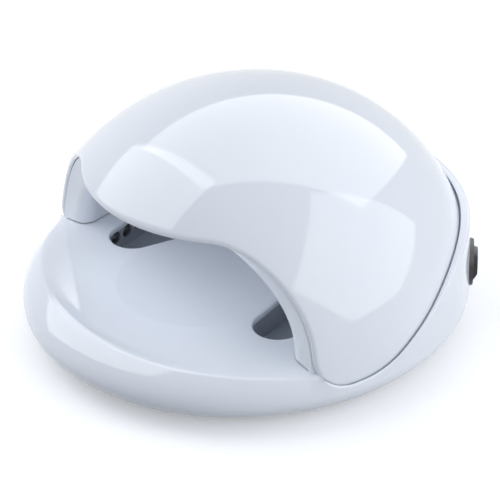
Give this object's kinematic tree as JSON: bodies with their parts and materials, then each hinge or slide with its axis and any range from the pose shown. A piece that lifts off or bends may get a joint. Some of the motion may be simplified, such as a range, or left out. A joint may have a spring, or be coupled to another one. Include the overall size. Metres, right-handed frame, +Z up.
{
  "type": "led nail lamp",
  "caption": "Domed nail lamp with a round tray base, an arched hand tunnel, a thumb well at each side, and a rocker switch beside the power inlet.",
  "frame": {"origin": "on the table under the middle of the round base", "axes": "+Z up, -Y towards the open front where the hand goes in, +X towards the side that has the switch"},
  "size_m": [0.2, 0.2124, 0.1114],
  "materials": {
    "white_abs": "high gloss, bluish white",
    "grey_abs": "satin grey",
    "black_plastic": "satin black",
    "rubber": "matte black",
    "screw_steel": "zinc plated",
    "frosted_lens": "frosted, translucent",
    "white_board": "white, matte",
    "green_board": "green solder mask",
    "emitter": "pale yellow",
    "dark_lens": "dark, glossy",
    "sink_aluminium": "plain",
    "capacitor_blue": "printed sleeve, plain",
    "copper": "enamelled copper wire",
    "blade_brass": "bright",
    "grey_cable": "matte"
  },
  "bodies": {
    "lamp": {"base_housing": "white_abs", "bottom_plate": "white_abs", "rubber_feet": "rubber", "bottom_screws": "screw_steel", "hood_shell": "white_abs", "hood_screws": "screw_steel", "hood_liner": "white_abs", "liner_screws": "screw_steel", "ceiling_lens": "frosted_lens", "ceiling_board": "white_board", "ceiling_leds": "emitter", "heat_sink": "sink_aluminium", "ceiling_screws": "screw_steel", "thumb_well_left": "grey_abs", "thumb_well_right": "grey_abs", "thumb_board_left": "green_board", "thumb_board_right": "green_board", "thumb_leds_left": "dark_lens", "thumb_leds_right": "dark_lens", "well_screws": "screw_steel", "control_board": "green_board", "driver_chip": "black_plastic", "capacitors": "capacitor_blue", "power_coil": "copper", "board_connectors": "white_board", "control_screws": "screw_steel", "switch_body": "black_plastic", "switch_blades": "blade_brass", "inlet_socket": "black_plastic", "inlet_nut": "screw_steel", "hood_cable": "grey_cable"},
    "rocker": {"switch_rocker": "black_plastic"}
  },
  "joints": [
    {"name": "rocker_tilt", "type": "hinge", "parent": "lamp", "child": "rocker", "pos_m": [0.06551, 0.07428, 0.0256], "axis": [0.7071, -0.7071, 0], "range_deg": [0, 24]}
  ]
}
